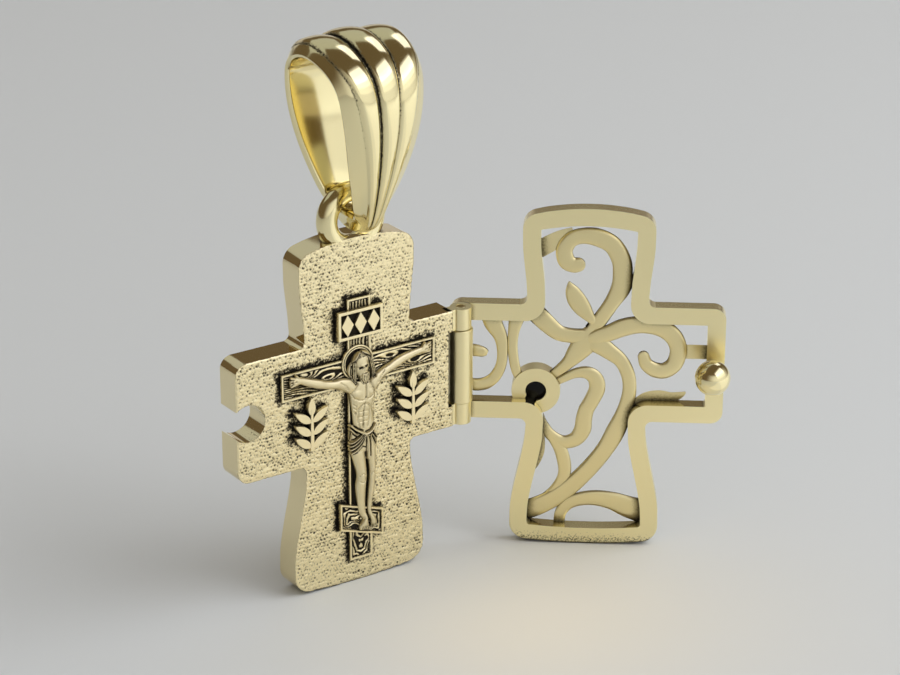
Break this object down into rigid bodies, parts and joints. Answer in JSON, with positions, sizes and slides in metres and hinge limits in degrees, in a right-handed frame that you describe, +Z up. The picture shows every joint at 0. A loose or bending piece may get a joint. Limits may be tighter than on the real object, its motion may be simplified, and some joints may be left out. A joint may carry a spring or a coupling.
{
  "type": "cross locket pendant",
  "caption": "Hinged cross locket in pale gold with a figured cross in relief, a pierced scrollwork lid with a ball catch and a stone, and a fluted bail.",
  "frame": {"origin": "the chain's seat: the middle of the inside top of the bail's eye", "axes": "+Z up along the hanging cross, -Y out of its figured face, +X to the viewer's right, where the lid stands open"},
  "size_m": [0.0351, 0.018, 0.0413],
  "materials": {
    "polished_gold": "polished",
    "satin_gold": "satin",
    "black_stone": "gloss"
  },
  "bodies": {
    "bail_body": {"bail": "polished_gold"},
    "cross": {"cross_body": "satin_gold", "small_cross": "satin_gold", "figure": "satin_gold", "left_sprig": "satin_gold", "right_sprig": "satin_gold", "hinge_pin": "polished_gold"},
    "lid": {"lid_cross": "polished_gold", "stone": "black_stone"}
  },
  "joints": [
    {"name": "bail_swing", "type": "hinge", "parent": "bail_body", "child": "cross", "pos_m": [0, 0.0006, -0.0102], "axis": [1, 0, 0], "range_deg": [-25, 25]},
    {"name": "lid_hinge", "type": "hinge", "parent": "cross", "child": "lid", "pos_m": [0.00913, 0.00036, -0.02525], "axis": [0, 0, 1], "range_deg": [-142, 33]}
  ]
}
